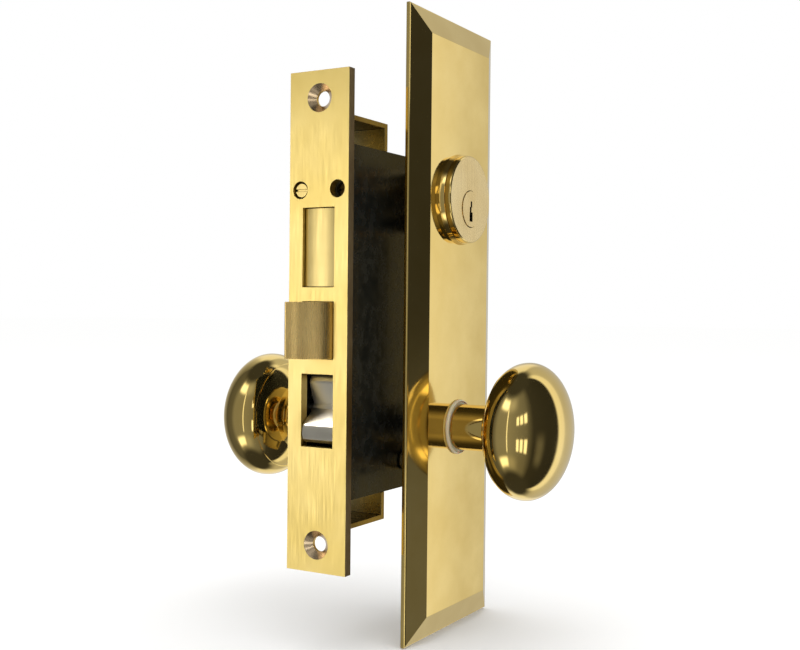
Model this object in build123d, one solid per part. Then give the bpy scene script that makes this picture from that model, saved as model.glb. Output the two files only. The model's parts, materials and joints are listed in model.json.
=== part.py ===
from build123d import *
import math
import os

# Mortise lock with escutcheon, knobs, mortise cylinder and thumb turn.
# Millimetres. The origin is the centre of the front's outer face. -Y points out of the door's
# edge, +Y into the door, +X out of its outside face (the key side) and +Z up.

# Front and case
FRONT_W, FRONT_H, FRONT_T = 28.6, 203.2, 4.0
FRONT_SCREW_Z = 90.5
FRONT_HOLE_R, COUNTERSINK_R, COUNTERSINK_Y = 3.1, 6.45, (-0.6, 2.75)
SET_HOLE_R = 3.6
CASE_W, CASE_H, CASE_WALL = 25.0, 144.0, 1.5
CASE_BACK = 89.5
CASE_X = CASE_W / 2
INNER_X = CASE_X - CASE_WALL
BRACKET_Z, BRACKET_BACK = 83.7, 33.0
WINDOW_X = 7.7
DEADBOLT_WINDOW = (14.1, 46.4)
LATCH_WINDOW = (-15.0, 8.4)
STOP_WINDOW = (-50.8, -21.1)
SLIDE_GAP = 0.2
FIT, LOOSE_FIT = 0.05, 0.15

# Door, escutcheon and trim
DOOR_HALF = 25.4
BACKSET = 63.5
PLATE_W, PLATE_H, PLATE_RISE = 76.2, 266.7, 6.2
PLATE_Z = -1.5
PLATE_RIM, PLATE_BEVEL, PLATE_SKIN = 2.0, 11.0, 2.6
RIM_ROUND = 0.8
PLATE_FACE = DOOR_HALF + PLATE_RISE
ROSE_R, ROSE_T = 28.5, 5.0
ROSE_FACE = DOOR_HALF + ROSE_T

# Knobs and their hubs
KNOB_Z = -45.9
KNOB_R, KNOB_DEPTH, KNOB_SEAM, KNOB_SKIN = 29.25, 34.0, 9.5, 1.3
OUTSIDE_KNOB_X, INSIDE_KNOB_X = 65.5, 70.5
SHANK_R, JOURNAL_R, SPINDLE = 10.0, 8.6, 7.9
WASHER_R, WASHER_T = 12.0, 0.9
HUB_R = 8.2
HUB_ARM_R, HUB_TIP_R, HUB_ARM_ANGLE = 17.3, 2.2, 60.0
HUB_NECK = (-3.0, -0.5)
LATCH_THROW, DEADBOLT_THROW = 12.7, 25.4

# Latch parts, measured along Y
LATCH_Z = sum(LATCH_WINDOW) / 2
LATCH_BACK = 18.0
TAIL_R, TAIL_NECK_R = 3.0, 2.5
GUIDE_Y = (46.0, 48.0)
FORK_Y, RING_Y, NUT_Y = (54.6, 56.9), (57.2, 59.4), (59.5, 61.6)
FOOT_Y, FOOT_Z, FOOT_TOP = 51.0, -36.6, -26.0
LIFTER_X = (1.0, 5.0)

# Cylinder and deadbolt parts
CYLINDER_Z, PLUG_Z = 53.6, 49.4
CYLINDER_R, CYLINDER_HEAD_R, CYLINDER_HEAD_T, CYLINDER_END = 14.6, 19.0, 5.0, 3.0
COLLAR_R, COLLAR_FRONT_R, COLLAR_T = 19.8, 19.3, 2.2
PLUG_R, PLUG_FACE_R = 6.35, 7.85
PIN_PITCH, PIN_FIRST, PIN_COUNT, PIN_R = 3.9, 27.0, 5, 1.45
CAM_X = (0.4, 2.8)
CAM_REACH, CAM_TIP_R, CAM_NECK, CAM_ANGLE = 16.6, 2.2, (-1.2, 1.2), 50.0
CAM_SCREW_Z = (-3.0, 3.0)
CHAMBER_TOP, DRIVER_TOP = 67.2, 61.0
DEADBOLT_BACK = 44.0
RIVET_Y, RIVET_Z, RIVET_R = 37.0, (26.0, 34.5), 1.5
BOLT_TAIL_X, BOLT_TAIL_Z, BOLT_TAIL_BACK = 2.8, (22.0, 38.4), 83.5
NOTCH_W, NOTCH_Z = 6.2, 29.8
GUIDE_POST = (50.0, 26.2)
SET_SCREW_X, SET_SCREW_R, SET_HEAD_R = 9.0, 1.9, 2.8
TURN_SCREW_Y = (BACKSET - 10.6, BACKSET + 10.6)

# Stop works
ROCKER_PIVOT = (13.0, -36.0)
ROCKER_TILT, ROCKER_HUB_R = 15.0, 5.0
FINGER_R, FINGER_REACH = 1.6, 9.0
STOP_BAR_X, STOP_BAR_Z = (1.0, 4.0), (-51.0, -47.0)

# Fixings
THROUGH_BOLT_Y, THROUGH_BOLT_Z = (48.5, 78.5), -60.0
BOLT_R, BOLT_HEAD_R, BOLT_CLEARANCE_R = 2.5, 4.4, 3.1
COVER_POSTS = ((83.5, 65.0), (84.5, -65.0), (10.0, -65.0))
BLOCK_SCREW = (9.0, 65.0)
COVER_SCREW_R, COVER_HEAD_R = 1.25, 2.6


def span(x, y, z):
    """A box between two limits on each axis."""
    lows = (min(x), min(y), min(z))
    size = (abs(x[1] - x[0]), abs(y[1] - y[0]), abs(z[1] - z[0]))
    return Pos(*[low + s / 2 for low, s in zip(lows, size)]) * Box(*size)


def rod_x(radius, x, y, z, end_radius=None):
    """A round bar, or a cone, along X from x[0] to x[1]."""
    length = x[1] - x[0]
    turn = Rot(0, 90, 0) if length > 0 else Rot(0, -90, 0)
    shape = solid_of_two_radii(radius, end_radius, abs(length))
    return Pos(x[0], y, z) * turn * shape


def rod_y(radius, y, x, z, end_radius=None):
    """A round bar, or a cone, along Y from y[0] to y[1]."""
    length = y[1] - y[0]
    turn = Rot(-90, 0, 0) if length > 0 else Rot(90, 0, 0)
    shape = solid_of_two_radii(radius, end_radius, abs(length))
    return Pos(x, y[0], z) * turn * shape


def solid_of_two_radii(radius, end_radius, length):
    """A cylinder or cone that stands on the XY plane."""
    base = (Align.CENTER, Align.CENTER, Align.MIN)
    if end_radius is None:
        return Cylinder(radius, length, align=base)
    return Cone(radius, end_radius, length, align=base)


def side_plate(points, x):
    """A flat plate, drawn as (y, z) points and spanning x[0] to x[1]."""
    face = make_face(Polyline(*[(0, y, z) for y, z in points], close=True))
    return Pos(x[0], 0, 0) * extrude(face, x[1] - x[0], dir=(1, 0, 0))


def bent_strip(points, thickness, x):
    """A strip of spring steel: its centre line as (y, z) points, spanning x[0] to x[1]."""
    line = Polyline(*[(0, y, z) for y, z in points])
    face = trace_in_plane(line, thickness)
    return Pos(x[0], 0, 0) * extrude(face, x[1] - x[0], dir=(1, 0, 0))


def trace_in_plane(line, thickness):
    """The outline of a strip of constant thickness along a line in the YZ plane."""
    flat = Plane.YZ.to_local_coords(line)
    return Plane.YZ * trace(flat, thickness)


def about_x(y, z, degrees):
    """A turn about a line along X; positive degrees carry +Y towards +Z."""
    return Pos(0, y, z) * Rot(degrees, 0, 0) * Pos(0, -y, -z)


def turned(points, x, y, z, outward=1):
    """A solid turned about an X axis: points are (distance along X, radius) from the axis up."""
    profile = [(outward * along, radius) for along, radius in points]
    face = make_face(Polyline(*[(a, r, 0) for a, r in profile], close=True))
    return Pos(x, y, z) * revolve(face, Axis.X, 360)


def front_plate():
    plate = span((-FRONT_W / 2, FRONT_W / 2), (0, FRONT_T), (-FRONT_H / 2, FRONT_H / 2))
    for z in (-FRONT_SCREW_Z, FRONT_SCREW_Z):
        plate -= rod_y(FRONT_HOLE_R, (-1, FRONT_T + 1), 0, z)
        plate -= rod_y(COUNTERSINK_R, COUNTERSINK_Y, 0, z, FRONT_HOLE_R)
    for x in (-SET_SCREW_X, SET_SCREW_X):
        plate -= rod_y(SET_HOLE_R, (-1, FRONT_T + 1), x, CYLINDER_Z)
    for window in (DEADBOLT_WINDOW, LATCH_WINDOW, STOP_WINDOW):
        plate -= span((-WINDOW_X, WINDOW_X), (-1, FRONT_T + 1), window)
    return plate


def case_body():
    """The cast case: a tray that is open to the front and to the inside cover."""
    half = CASE_H / 2
    case = span((-INNER_X, CASE_X), (FRONT_T, CASE_BACK), (-half, half))
    inner = half - CASE_WALL
    case -= span((-INNER_X - 1, INNER_X), (FRONT_T - 1, CASE_BACK - CASE_WALL), (-inner, inner))
    case += span((-INNER_X, INNER_X), (FRONT_T, 14), (49.6, inner))
    case -= rod_x(CYLINDER_R + 0.1, (0, CASE_X + 1), BACKSET, CYLINDER_Z)
    case -= rod_x(HUB_R + FIT, (0, CASE_X + 1), BACKSET, KNOB_Z)
    for y in THROUGH_BOLT_Y:
        case -= rod_x(BOLT_CLEARANCE_R, (0, CASE_X + 1), y, THROUGH_BOLT_Z)
    for x in (-SET_SCREW_X, SET_SCREW_X):
        case -= rod_y(SET_SCREW_R + FIT, (0, 15), x, CYLINDER_Z)
        case -= rod_y(SET_HEAD_R + 0.1, (0, 8.2), x, CYLINDER_Z)
    case -= rod_x(COVER_SCREW_R + FIT, (-INNER_X - 1, -INNER_X + 8), *BLOCK_SCREW)
    return case


def case_cover():
    half = CASE_H / 2
    cover = span((-CASE_X, -INNER_X), (FRONT_T, CASE_BACK), (-half, half))
    cover -= rod_x(HUB_R + FIT, (-CASE_X - 1, 0), BACKSET, KNOB_Z)
    cover -= rod_x(6.25, (-CASE_X - 1, 0), BACKSET, PLUG_Z)
    for y in THROUGH_BOLT_Y:
        cover -= rod_x(BOLT_CLEARANCE_R, (-CASE_X - 1, 0), y, THROUGH_BOLT_Z)
    for place in COVER_POSTS + (BLOCK_SCREW,):
        cover -= rod_x(COVER_SCREW_R + 0.1, (-CASE_X - 1, 0), *place)
        cover -= rod_x(COVER_HEAD_R + 0.1, (-CASE_X, -INNER_X - 0.2), *place, COVER_SCREW_R + 0.1)
    return cover


def screw_slot(face, depth, y, z, reach, half_width):
    """The cutter for a slot in a screw head that faces -X."""
    return span((face - 1, face + depth), (y - reach, y + reach), (z - half_width, z + half_width))


def cover_screws():
    screws = []
    for place in COVER_POSTS + (BLOCK_SCREW,):
        head = rod_x(COVER_HEAD_R, (-CASE_X, -INNER_X - 0.25), *place, COVER_SCREW_R)
        shank = rod_x(COVER_SCREW_R, (-INNER_X - 0.3, -INNER_X + 7), *place)
        screws.append(head + shank - screw_slot(-CASE_X, 0.5, *place, 3, 0.3))
    return screws


def case_posts():
    posts = []
    for place in COVER_POSTS:
        thread = rod_x(COVER_SCREW_R + FIT, (-INNER_X - 1, -INNER_X + 8), *place)
        posts.append(rod_x(3.0, (-INNER_X, INNER_X), *place) - thread)
    return posts


def bracket(side):
    """A bent strip behind one end of the front: a shelf, and a wall that meets the case."""
    shelf_z, case_z = side * BRACKET_Z, side * CASE_H / 2
    shelf = span((-CASE_X, CASE_X), (FRONT_T, BRACKET_BACK), (shelf_z, shelf_z - side * 2.2))
    wall = span((-CASE_X, CASE_X), (BRACKET_BACK - 2.4, BRACKET_BACK), (shelf_z, case_z))
    return shelf + wall


def set_screw(x, head_y):
    """A cylinder set screw, with its head at head_y and a coned tip."""
    y = head_y
    head = rod_y(SET_HEAD_R, (y, y + 2.2), x, CYLINDER_Z)
    shank = rod_y(SET_SCREW_R, (y + 2.2, y + 43.2), x, CYLINDER_Z)
    tip = rod_y(SET_SCREW_R, (y + 43.2, y + 44.2), x, CYLINDER_Z, 1.0)
    slot = span((x - 4, x + 4), (y - 1, y + 1), (CYLINDER_Z - 0.45, CYLINDER_Z + 0.45))
    return head + shank + tip - slot


def escutcheon():
    """A hollow bevelled plate, its back open towards the door."""

    def level(x):
        return Plane((x, BACKSET, PLATE_Z), x_dir=(0, 1, 0), z_dir=(1, 0, 0))

    def layers(inset, skin):
        width, height = PLATE_W - 2 * inset, PLATE_H - 2 * inset
        rim_top = DOOR_HALF + PLATE_RIM - skin * 0.3
        rim = extrude(level(DOOR_HALF) * Rectangle(width, height), rim_top - DOOR_HALF)
        low = level(rim_top) * Rectangle(width - 2 * RIM_ROUND, height - 2 * RIM_ROUND)
        high = level(PLATE_FACE - skin) * Rectangle(PLATE_W - 2 * PLATE_BEVEL, PLATE_H - 2 * PLATE_BEVEL)
        return rim, loft([low, high])

    rim, bevel = layers(0, 0)
    rim = fillet(rim.edges().group_by(Axis.X)[-1], RIM_ROUND)
    inner_rim, inner_bevel = layers(2.2, PLATE_SKIN)
    plate = rim + bevel - inner_rim - inner_bevel
    plate -= rod_x(CYLINDER_R + LOOSE_FIT, (DOOR_HALF - 1, PLATE_FACE + 1), BACKSET, CYLINDER_Z)
    plate -= rod_x(JOURNAL_R + FIT, (DOOR_HALF - 1, PLATE_FACE + 1), BACKSET, KNOB_Z)
    return plate


def escutcheon_posts():
    posts = []
    for y in THROUGH_BOLT_Y:
        post = rod_x(4.5, (CASE_X + 0.6, PLATE_FACE - PLATE_SKIN), y, THROUGH_BOLT_Z)
        posts.append(post - rod_x(BOLT_R + FIT, (CASE_X, PLATE_FACE - PLATE_SKIN - 1.5), y, THROUGH_BOLT_Z))
    return posts


def through_bolts():
    bolts = []
    for y in THROUGH_BOLT_Y:
        head = rod_x(BOLT_HEAD_R, (-ROSE_FACE, -ROSE_FACE + 2.2), y, THROUGH_BOLT_Z, BOLT_R)
        shank = rod_x(BOLT_R, (-ROSE_FACE + 2.1, DOOR_HALF + 0.6), y, THROUGH_BOLT_Z)
        bolts.append(head + shank - screw_slot(-ROSE_FACE, 0.8, y, THROUGH_BOLT_Z, 5, 0.5))
    return bolts


def inside_knob_rose():
    """A dished round plate on the door's inside face."""
    points = [(0, ROSE_R), (1.2, ROSE_R), (3.6, ROSE_R - 1.0), (5.0, ROSE_R - 3.0), (5.0, JOURNAL_R + FIT)]
    points += [(3.4, JOURNAL_R + FIT), (3.4, ROSE_R - 3.8), (2.6, ROSE_R - 2.4), (0, ROSE_R - 1.4)]
    rose = turned(points, -DOOR_HALF, BACKSET, KNOB_Z, -1)
    for y in THROUGH_BOLT_Y:
        rose += rod_x(4.8, (-DOOR_HALF, -ROSE_FACE), y, THROUGH_BOLT_Z)
        rose -= rod_x(BOLT_R + FIT, (-DOOR_HALF + 1, -ROSE_FACE - 1), y, THROUGH_BOLT_Z)
        rose -= rod_x(BOLT_HEAD_R + 0.1, (-ROSE_FACE, -ROSE_FACE + 2.25), y, THROUGH_BOLT_Z, BOLT_R + FIT)
    return rose


def knob_washer(face, outward):
    ring = rod_x(WASHER_R, (outward * face, outward * (face + WASHER_T)), BACKSET, KNOB_Z)
    bore = (outward * (face - 1), outward * (face + WASHER_T + 1))
    return ring - rod_x(JOURNAL_R + FIT, bore, BACKSET, KNOB_Z)


def knob_radius(along):
    """The knob's outer radius at a distance along its axis, from -1 at the shank to 1 at its pole."""
    power = 2.0 if along > 0 else 2.25
    return KNOB_R * max(0.0, 1 - abs(along) ** power) ** 0.5


def knob_solid(centre, outward, shrink):
    """A solid of the knob's outline, cut square at the shank side."""
    half = KNOB_DEPTH / 2 - shrink
    steps = [math.sin(math.radians(a)) for a in range(-70, 90, 8)]
    points = [(outward * half * s, knob_radius(s) * (1 - shrink / KNOB_R), 0) for s in steps]
    pole, foot = (outward * half, 0, 0), (points[0][0], 0, 0)
    line = Spline(*points, pole, tangents=[(0.5 * outward, 1, 0), (0, -1, 0)])
    base = Polyline(pole, foot, points[0])
    face = make_face(line + base)
    return Pos(centre, BACKSET, KNOB_Z) * revolve(face, Axis.X, 360)


def knob_parts(centre, outward):
    """The knob's crowned front shell and its back cup, which meet in a seam behind the rim."""
    def slice_x(radius, start, end):
        return rod_x(radius, (centre + outward * start, centre + outward * end), BACKSET, KNOB_Z)

    solid = knob_solid(centre, outward, 0)
    skin = solid - knob_solid(centre, outward, KNOB_SKIN)
    front = skin & slice_x(KNOB_R + 10, -KNOB_SEAM, KNOB_DEPTH)
    back = skin & slice_x(KNOB_R + 10, -KNOB_SEAM, -KNOB_DEPTH)
    back += solid & slice_x(16, -20, -12.6)
    return front, back - slice_x(SHANK_R - 1.45, -KNOB_DEPTH, 0)


def knob_shank(centre, face, outward):
    """The collar and journal between a knob and the lock, bored square for the spindle."""
    start, neck = face + WASHER_T + 0.3, abs(centre) - 16.0
    collar = rod_x(SHANK_R, (outward * start, outward * neck), BACKSET, KNOB_Z)
    root = rod_x(SHANK_R - 1.5, (outward * neck, outward * (neck + 3.2)), BACKSET, KNOB_Z)
    journal = rod_x(JOURNAL_R, (outward * (DOOR_HALF - 1), outward * start), BACKSET, KNOB_Z)
    bore = square_bar((outward * (DOOR_HALF - 2), outward * (neck - 4)), SPINDLE + 0.2, BACKSET, KNOB_Z)
    screw_hole = knob_screw_hole(outward * (neck - 8), SHANK_R + 1)
    return collar + root + journal - bore - screw_hole


def knob_screw_hole(x, reach):
    return Pos(x, BACKSET, KNOB_Z - reach / 2) * Cylinder(2.05, reach)


def knob_screw(centre, outward):
    """A headless set screw through the shank onto a flat of the spindle."""
    x = outward * (abs(centre) - 24.0)
    top, bottom = KNOB_Z - SPINDLE / 2 - 0.02, KNOB_Z - SHANK_R + 0.4
    screw = Pos(x, BACKSET, (top + bottom) / 2) * Cylinder(2.0, top - bottom)
    return screw - span((x - 3, x + 3), (BACKSET - 0.3, BACKSET + 0.3), (bottom - 1, bottom + 1))


def square_bar(x, width, y, z):
    return span(x, (y - width / 2, y + width / 2), (z - width / 2, z + width / 2))


def hub_arm(x, y, z, reach, tip_r, neck, angle, hub_r):
    """An arm with a round tip and root, leaning by angle towards -Y; neck is its two flanks."""
    arm = span(x, (y + neck[0], y + neck[1]), (z, z + reach))
    tip = rod_x(tip_r, x, y, z + reach)
    return about_x(y, z, angle) * (arm + tip) + rod_x(hub_r, x, y, z)


def hub(outward):
    x = (outward * 0.3, outward * (CASE_X + 0.3))
    arm_x = tuple(outward * v for v in LIFTER_X)
    shape = rod_x(HUB_R, x, BACKSET, KNOB_Z)
    shape += hub_arm(arm_x, BACKSET, KNOB_Z, HUB_ARM_R, HUB_TIP_R, HUB_NECK, HUB_ARM_ANGLE, HUB_R)
    shape -= square_bar((x[0] - outward, x[1] + outward), SPINDLE + 0.1, BACKSET, KNOB_Z)
    if outward > 0:
        shape -= span((0.6, 4.4), (BACKSET - 9, BACKSET - 6.2), (-49.4, -44.6))
    return shape


def lifter(fork_y, hole_r, side):
    """A slotted head on the latch tail and a foot that a hub arm pushes."""
    x = tuple(side * v for v in LIFTER_X)
    head = span((-5, 5), fork_y, (-9.2, 2)) - rod_y(hole_r, (fork_y[0] - 1, fork_y[1] + 1), 0, LATCH_Z)
    leg = span(x, fork_y, (FOOT_TOP - 1, -9.0))
    foot = span(x, (FOOT_Y, fork_y[1]), (FOOT_Z, FOOT_TOP))
    return head + leg + foot


def latch_bolt():
    """The spring bolt: flat on the inside, with a crowned bevel towards the outside."""
    half = WINDOW_X - SLIDE_GAP
    low, high = LATCH_WINDOW[0] + 0.3, LATCH_WINDOW[1] - 0.3
    tip = -LATCH_THROW
    side = Line((-half, LATCH_BACK), (-half, tip + 0.6))
    nose = ThreePointArc((-half, tip + 0.6), (-half + 0.3, tip + 0.1), (-half + 1.0, tip))
    bevel = ThreePointArc((-half + 1.0, tip), (2.4, -8.1), (half, 0.5))
    rest = Polyline((half, 0.5), (half, LATCH_BACK), (-half, LATCH_BACK))
    bolt = Pos(0, 0, low) * extrude(make_face(side + nose + bevel + rest), high - low)
    return bolt - rod_y(TAIL_R + 0.02, (LATCH_BACK - 9, LATCH_BACK + 1), 0, LATCH_Z)


def latch_tail():
    long = rod_y(TAIL_R, (LATCH_BACK - 8.5, RING_Y[0]), 0, LATCH_Z)
    return long + rod_y(TAIL_NECK_R, (RING_Y[0], NUT_Y[1] + 0.3), 0, LATCH_Z)


def latch_tail_nut():
    hexagon = extrude(RegularPolygon(4.6, 6), NUT_Y[1] - NUT_Y[0])
    hexagon = Pos(0, NUT_Y[0], LATCH_Z) * Rot(-90, 0, 0) * hexagon
    return hexagon - rod_y(TAIL_NECK_R + 0.02, (NUT_Y[0] - 1, NUT_Y[1] + 1), 0, LATCH_Z)


def latch_guide():
    plate = span((-INNER_X, INNER_X), GUIDE_Y, (-10, 4))
    return plate - rod_y(TAIL_R + FIT, (GUIDE_Y[0] - 1, GUIDE_Y[1] + 1), 0, LATCH_Z)


def coil_spring(radius, wire, start, end, turns, x, z):
    """A compression spring along Y, with flat-ground ends left plain."""
    path = Helix((end - start - 2 * wire) / turns, end - start - 2 * wire, radius)
    section = Plane(origin=path @ 0, z_dir=path % 0) * Circle(wire)
    return Pos(x, start + wire, z) * Rot(-90, 0, 0) * sweep(section, path)


def cylinder_collar():
    """The tapered ring between the plate and the cylinder's head."""
    front = PLATE_FACE + COLLAR_T
    ring = rod_x(COLLAR_R, (PLATE_FACE, front), BACKSET, CYLINDER_Z, COLLAR_FRONT_R)
    return ring - rod_x(CYLINDER_R + LOOSE_FIT, (PLATE_FACE - 1, front + 1), BACKSET, CYLINDER_Z)


def cylinder_body():
    head_back, face = PLATE_FACE + COLLAR_T, PLATE_FACE + CYLINDER_HEAD_T
    head = rod_x(CYLINDER_HEAD_R, (head_back, face), BACKSET, CYLINDER_Z)
    head = fillet(head.edges().group_by(Axis.X)[-1], 0.6)
    body = head + rod_x(CYLINDER_R, (CYLINDER_END, head_back), BACKSET, CYLINDER_Z)
    body -= rod_x(PLUG_R + FIT, (0, face + 1), BACKSET, PLUG_Z)
    body -= rod_x(PLUG_FACE_R + FIT, (face - 1.5, face + 1), BACKSET, PLUG_Z)
    groove_y = BACKSET - CYLINDER_R
    body -= span((3.5, DOOR_HALF), (groove_y - 1, groove_y + 1.6), (CYLINDER_Z - 2.4, CYLINDER_Z + 2.4))
    for x in pin_places():
        body -= pin(x, PLUG_Z, CHAMBER_TOP, PIN_R + FIT)
    return body


def pin_places():
    return [PIN_FIRST - PIN_PITCH * i for i in range(PIN_COUNT)]


def pin(x, low, high, radius):
    """A round pin that stands along Z."""
    return Pos(x, BACKSET, (low + high) / 2) * Cylinder(radius, high - low)


def driver_pins():
    return [pin(x, PLUG_Z + PLUG_R + 0.08, DRIVER_TOP, PIN_R) for x in pin_places()]


def driver_springs():
    springs = []
    for x in pin_places():
        outside = pin(x, DRIVER_TOP + 0.1, CHAMBER_TOP - 0.1, PIN_R - 0.1)
        springs.append(outside - pin(x, DRIVER_TOP, CHAMBER_TOP, PIN_R - 0.5))
    return springs


def key_pins():
    """Bottom pins of different lengths, held at the shear line as a key would hold them."""
    lengths = (5.0, 4.2, 5.6, 4.6, 5.2)
    top = PLUG_Z + PLUG_R - 0.2
    return [pin(x, top - length, top, PIN_R) for x, length in zip(pin_places(), lengths)]


def cylinder_plug():
    face = PLATE_FACE + CYLINDER_HEAD_T
    plug = rod_x(PLUG_R, (CYLINDER_END, face - 1.0), BACKSET, PLUG_Z)
    plug += rod_x(PLUG_FACE_R, (face - 1.45, face + 0.3), BACKSET, PLUG_Z)
    x = (CYLINDER_END + 3, face + 2)
    plug -= span(x, (BACKSET - 1.4, BACKSET + 1.4), (PLUG_Z - 5.4, PLUG_Z - 1.4))
    plug -= span(x, (BACKSET - 1.2, BACKSET + 0.3), (PLUG_Z - 1.5, PLUG_Z + 0.9))
    plug -= span(x, (BACKSET - 0.4, BACKSET + 0.9), (PLUG_Z + 0.8, PLUG_Z + 3.4))
    for place in pin_places():
        plug -= pin(place, PLUG_Z - 2.0, PLUG_Z + PLUG_R + 1, PIN_R + FIT)
    for z in CAM_SCREW_Z:
        plug -= rod_x(0.85, (0, CYLINDER_END + 3.0), BACKSET, PLUG_Z + z)
    return plug


def cylinder_cam():
    cam = hub_arm(CAM_X, BACKSET, PLUG_Z, CAM_REACH, CAM_TIP_R, CAM_NECK, -180 + CAM_ANGLE, PLUG_R)
    for z in CAM_SCREW_Z:
        cam -= rod_x(0.9, (0, CYLINDER_END), BACKSET, PLUG_Z + z)
    return cam


def cam_screws():
    screws = []
    for z in CAM_SCREW_Z:
        screws.append(rod_x(0.8, (CAM_X[0] + 0.1, CYLINDER_END + 2.9), BACKSET, PLUG_Z + z))
    return screws


def deadbolt():
    half = WINDOW_X - 0.3
    low, high = DEADBOLT_WINDOW[0] + 0.3, DEADBOLT_WINDOW[1] - 0.3
    nose = ThreePointArc((-half, 1.8), (0, 1.2), (half, 1.8))
    rest = Polyline((half, 1.8), (half, DEADBOLT_BACK), (-half, DEADBOLT_BACK), (-half, 1.8))
    bolt = Pos(0, 0, low) * extrude(make_face(nose + rest), high - low)
    bolt -= span((-2.85, 2.85), (30, DEADBOLT_BACK + 1), (BOLT_TAIL_Z[0] - 0.1, BOLT_TAIL_Z[1] + 0.1))
    for z in RIVET_Z:
        bolt -= rod_x(RIVET_R + FIT, (-10, 10), RIVET_Y, z)
    return bolt


def deadbolt_tail():
    """The bolt's tail plate: a guide slot, two detent notches and the notch for cam and turn lever."""
    x = (-BOLT_TAIL_X, BOLT_TAIL_X)
    tail = span(x, (30.2, BOLT_TAIL_BACK), BOLT_TAIL_Z)
    notch_y = BACKSET + CAM_REACH * math.sin(math.radians(CAM_ANGLE))
    wide = (-BOLT_TAIL_X - 1, BOLT_TAIL_X + 1)
    tail -= span(wide, (notch_y - NOTCH_W / 2, notch_y + NOTCH_W / 2), (NOTCH_Z, BOLT_TAIL_Z[1] + 1))
    post_y, post_z = GUIDE_POST
    tail -= span(wide, (post_y, post_y + DEADBOLT_THROW), (post_z - 2.0, post_z + 2.0))
    for y in (post_y, post_y + DEADBOLT_THROW):
        tail -= rod_x(2.0, wide, y, post_z)
    for z in RIVET_Z:
        tail -= rod_x(RIVET_R + FIT, wide, RIVET_Y, z)
    for y in (56.3, 56.3 + DEADBOLT_THROW):
        tail -= side_plate([(y - 1.1, 21.9), (y, 22.8), (y + 1.1, 21.9)], wide)
    return tail


def tail_rivets():
    half = WINDOW_X - 0.3
    return [rod_x(RIVET_R, (-half, half), RIVET_Y, z) for z in RIVET_Z]


def deadbolt_guide_post():
    return rod_x(1.95, (-INNER_X, INNER_X), *GUIDE_POST)


def deadbolt_detent_spring():
    points = [(87.6, 10), (87.6, 18.6), (60, 18.6), (57.4, 18.9), (56.3, 22.0), (55.2, 18.9), (54.2, 18.7)]
    return bent_strip(points, 0.5, (-2, 2))


def turn_hub():
    """The thumb turn's hub in the case cover, with the lever that moves the deadbolt."""
    lever_x = (-CAM_X[0], -CAM_X[1])
    lever = hub_arm(lever_x, BACKSET, PLUG_Z, CAM_REACH, CAM_TIP_R, CAM_NECK, -180 + CAM_ANGLE, 6.2)
    barrel = rod_x(6.2, (-CASE_X - 0.3, -CAM_X[1] + 0.1), BACKSET, PLUG_Z)
    return lever + barrel - square_bar((-CASE_X - 1, -3.4), 5.1, BACKSET, PLUG_Z)


def turn_spindle():
    return square_bar((-40, -3.6), 5.0, BACKSET, PLUG_Z)


def turn_rose():
    points = [(0, 16), (1.0, 16), (2.6, 14.8), (3.0, 13.6), (3.0, 7.05), (0, 7.05)]
    rose = turned(points, -DOOR_HALF, BACKSET, PLUG_Z, -1)
    for y in TURN_SCREW_Y:
        rose -= rod_x(1.7, (-DOOR_HALF + 1, -DOOR_HALF - 4), y, PLUG_Z)
        rose -= rod_x(3.05, (-DOOR_HALF - 3, -DOOR_HALF - 1.6), y, PLUG_Z, 1.7)
    return rose


def turn_rose_screws():
    screws = []
    for y in TURN_SCREW_Y:
        head = rod_x(2.95, (-DOOR_HALF - 3, -DOOR_HALF - 1.6), y, PLUG_Z, 1.6)
        shank = rod_x(1.6, (-DOOR_HALF - 1.7, -16.5), y, PLUG_Z)
        point = rod_x(1.6, (-16.5, -13.6), y, PLUG_Z, 0.3)
        screws.append(head + shank + point - screw_slot(-DOOR_HALF - 3, 0.6, y, PLUG_Z, 4, 0.3))
    return screws


def thumb_turn():
    """A turned boss in the rose, with a flat thumb piece."""
    boss = rod_x(7.0, (-DOOR_HALF - 0.2, -DOOR_HALF - 6), BACKSET, PLUG_Z)
    neck = rod_x(7.0, (-DOOR_HALF - 6, -DOOR_HALF - 10), BACKSET, PLUG_Z, 4.2)
    wing = Pos(-DOOR_HALF - 14, BACKSET, PLUG_Z) * Box(13, 4.4, 27)
    wing = fillet(wing.edges().filter_by(Axis.Y), 5.0)
    faces = wing.faces().sort_by(Axis.Y)
    wing = fillet(faces[0].edges() + faces[-1].edges(), 1.2)
    return boss + neck + wing - square_bar((-40.2, 0), 5.1, BACKSET, PLUG_Z)


def rocker_outline():
    """One half of the rocker's side outline, as (forward, up) points from its pivot."""
    crown = [(10.1, 8.4), (10.2, 9.6), (9.9, 12.6), (8.6, 14.6), (6.6, 15.5)]
    return crown + [(4.6, 15.0), (3.4, 13.2), (3.2, 4.6)]


def stop_rocker():
    """The two-lobed rocker, shown with its lower lobe out, and the finger that moves the stop slide."""
    y, z = ROCKER_PIVOT
    upper = rocker_outline()
    points = [(4.2, 0.0)] + upper + [(0.0, 3.0), (0.0, -3.0)] + [(f, -u) for f, u in reversed(upper)]
    half = WINDOW_X - 0.3
    lobes = side_plate([(y - f, z + u) for f, u in points], (-half, half))
    shape = lobes + rod_x(ROCKER_HUB_R, (-half, half), y, z)
    shape += span((-3, 3), (y - FINGER_R, y + FINGER_R), (z - FINGER_REACH, z))
    shape += rod_x(FINGER_R, (-3, 3), y, z - FINGER_REACH)
    shape -= rod_x(2.0 + FIT, (-half - 1, half + 1), y, z)
    for angle in (-ROCKER_TILT, ROCKER_TILT):
        rear = y + ROCKER_HUB_R + 0.2
        notch = side_plate([(rear, z - 1.2), (rear - 1.1, z), (rear, z + 1.2)], (-half - 1, half + 1))
        shape -= about_x(y, z, angle) * notch
    return about_x(y, z, -ROCKER_TILT) * shape


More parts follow.
